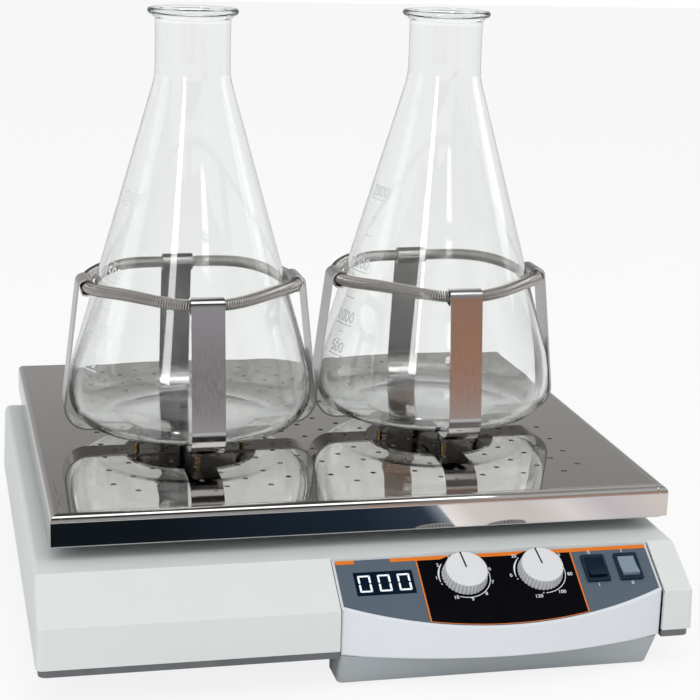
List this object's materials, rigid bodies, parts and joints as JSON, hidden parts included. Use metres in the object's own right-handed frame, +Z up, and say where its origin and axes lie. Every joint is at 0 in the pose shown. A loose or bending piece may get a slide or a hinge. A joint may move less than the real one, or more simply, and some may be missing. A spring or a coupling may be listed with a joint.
{
  "type": "platform shaker",
  "caption": "Low-profile bench orbital shaker with a perforated bright tray, sprung flask clamps, conical flasks and a sloped control console.",
  "frame": {"origin": "middle of the bounding box's bottom, on the bench", "axes": "+X to the operator's right, +Y to the back, +Z up"},
  "size_m": [0.4116, 0.422, 0.3961],
  "materials": {
    "pan_steel": "zinc-plated steel sheet",
    "housing_paint": "light cool grey powder coat",
    "collar_rubber": "matt",
    "console_white": "white moulded plastic",
    "pedestal_grey": "grey moulded plastic",
    "overlay_film": "printed film",
    "window_dark": "dark clear plastic",
    "module_black": "black",
    "board_green": "glass-fibre board",
    "control_metal": "die-cast",
    "spindle_steel": "turned",
    "knob_white": "white",
    "switch_black": "black",
    "rocker_navy": "dark navy",
    "rocker_grey": "light grey-blue",
    "cast_grey": "as cast",
    "bearing_steel": "ground",
    "shaft_steel": "turned",
    "weight_iron": "bare",
    "belt_rubber": "toothless flat belt",
    "motor_black": "black enamel",
    "supply_sheet": "plated sheet",
    "inlet_black": "black",
    "screw_steel": "zinc plated",
    "foot_rubber": "matt",
    "carrier_metal": "plain sheet",
    "tray_steel": "mirror-bright stainless sheet",
    "clamp_steel": "bright stainless sheet",
    "spring_steel": "bright spring wire",
    "stud_brass": "plain",
    "nut_steel": "bright",
    "flask_glass": "clear, faint green"
  },
  "bodies": {
    "base": {"base_pan": "pan_steel", "housing_cover": "housing_paint", "splash_collars": "collar_rubber", "console_shell": "console_white", "console_base": "pedestal_grey", "front_overlay": "overlay_film", "display_window": "window_dark", "display_module": "module_black", "control_board": "board_green", "speed_potentiometer": "control_metal", "timer_potentiometer": "control_metal", "timer_switch_body": "switch_black", "power_switch_body": "switch_black", "drive_bearing_block": "cast_grey", "idler_bearing_blocks": "cast_grey", "drive_bearings": "bearing_steel", "idler_bearings": "bearing_steel", "motor": "motor_black", "motor_bracket": "supply_sheet", "drive_belt": "belt_rubber", "motor_screws": "screw_steel", "power_supply": "supply_sheet", "power_inlet": "inlet_black", "rubber_feet": "foot_rubber", "foot_screws": "screw_steel", "cover_screws": "screw_steel", "block_screws": "screw_steel"},
    "crank": {"drive_crank": "shaft_steel", "crank_pulley": "cast_grey", "counterweight": "weight_iron"},
    "platform": {"carrier_plate": "carrier_metal", "platform_bearing": "bearing_steel", "platform_idler_bearings": "bearing_steel", "tray_studs": "screw_steel", "tray_nuts": "nut_steel", "tray": "tray_steel", "clamp_left": "clamp_steel", "clamp_spring_left": "spring_steel", "clamp_disc_left": "clamp_steel", "clamp_studs_left": "stud_brass", "clamp_nuts_left": "nut_steel", "clamp_right": "clamp_steel", "clamp_spring_right": "spring_steel", "clamp_disc_right": "clamp_steel", "clamp_studs_right": "stud_brass", "clamp_nuts_right": "nut_steel"},
    "idler_left": {"idler_crank_left": "shaft_steel"},
    "idler_right": {"idler_crank_right": "shaft_steel"},
    "idler_rear": {"idler_crank_rear": "shaft_steel"},
    "rotor": {"motor_shaft": "shaft_steel", "motor_pulley": "cast_grey"},
    "speed_dial": {"speed_knob": "knob_white", "speed_knob_spindle": "spindle_steel"},
    "timer_dial": {"timer_knob": "knob_white", "timer_knob_spindle": "spindle_steel"},
    "timer_button": {"timer_rocker": "rocker_navy"},
    "power_button": {"power_rocker": "rocker_grey"},
    "flask_left": {"flask_left": "flask_glass"},
    "flask_right": {"flask_right": "flask_glass"}
  },
  "joints": [
    {"name": "crank_spin", "type": "hinge", "parent": "base", "child": "crank", "pos_m": [0, 0.026, 0.0735], "axis": [0, 0, 1], "continuous": true},
    {"name": "platform_turn", "type": "hinge", "parent": "crank", "child": "platform", "pos_m": [0.00643, 0.03366, 0.0915], "axis": [0, 0, 1], "continuous": true},
    {"name": "idler_left_spin", "type": "hinge", "parent": "base", "child": "idler_left", "pos_m": [-0.14, -0.084, 0.05], "axis": [0, 0, 1], "continuous": true},
    {"name": "idler_right_spin", "type": "hinge", "parent": "base", "child": "idler_right", "pos_m": [0.14, -0.084, 0.05], "axis": [0, 0, 1], "continuous": true},
    {"name": "idler_rear_spin", "type": "hinge", "parent": "base", "child": "idler_rear", "pos_m": [0, 0.156, 0.05], "axis": [0, 0, 1], "continuous": true},
    {"name": "motor_spin", "type": "hinge", "parent": "base", "child": "rotor", "pos_m": [-0.122, 0.062, 0.055], "axis": [0, 0, 1], "continuous": true},
    {"name": "speed_knob_turn", "type": "hinge", "parent": "base", "child": "speed_dial", "pos_m": [0.059, -0.17681, 0.06293], "axis": [0, -0.515, 0.8572], "range_deg": [-213, 86]},
    {"name": "timer_knob_turn", "type": "hinge", "parent": "base", "child": "timer_dial", "pos_m": [0.1083, -0.17681, 0.06293], "axis": [0, -0.515, 0.8572], "range_deg": [-200, 90]},
    {"name": "timer_rocker_tilt", "type": "hinge", "parent": "base", "child": "timer_button", "pos_m": [0.1451, -0.1771, 0.0634], "axis": [1, 0, 0], "range_deg": [0, 16]},
    {"name": "power_rocker_tilt", "type": "hinge", "parent": "base", "child": "power_button", "pos_m": [0.1671, -0.1771, 0.0634], "axis": [1, 0, 0], "range_deg": [0, 16]},
    {"name": "flask_left_lift", "type": "slide", "parent": "platform", "child": "flask_left", "axis": [0, 0, 1], "range_m": [0, 0.12], "deforming": ["clamp_left", "clamp_spring_left"]},
    {"name": "flask_right_lift", "type": "slide", "parent": "platform", "child": "flask_right", "axis": [0, 0, 1], "range_m": [0, 0.12], "deforming": ["clamp_right", "clamp_spring_right"]}
  ],
  "couplings": [
    {"joint": "platform_turn", "follows": "crank_spin", "ratio": -1},
    {"joint": "idler_left_spin", "follows": "crank_spin", "ratio": 1},
    {"joint": "idler_right_spin", "follows": "crank_spin", "ratio": 1},
    {"joint": "idler_rear_spin", "follows": "crank_spin", "ratio": 1},
    {"joint": "motor_spin", "follows": "crank_spin", "ratio": 3}
  ]
}
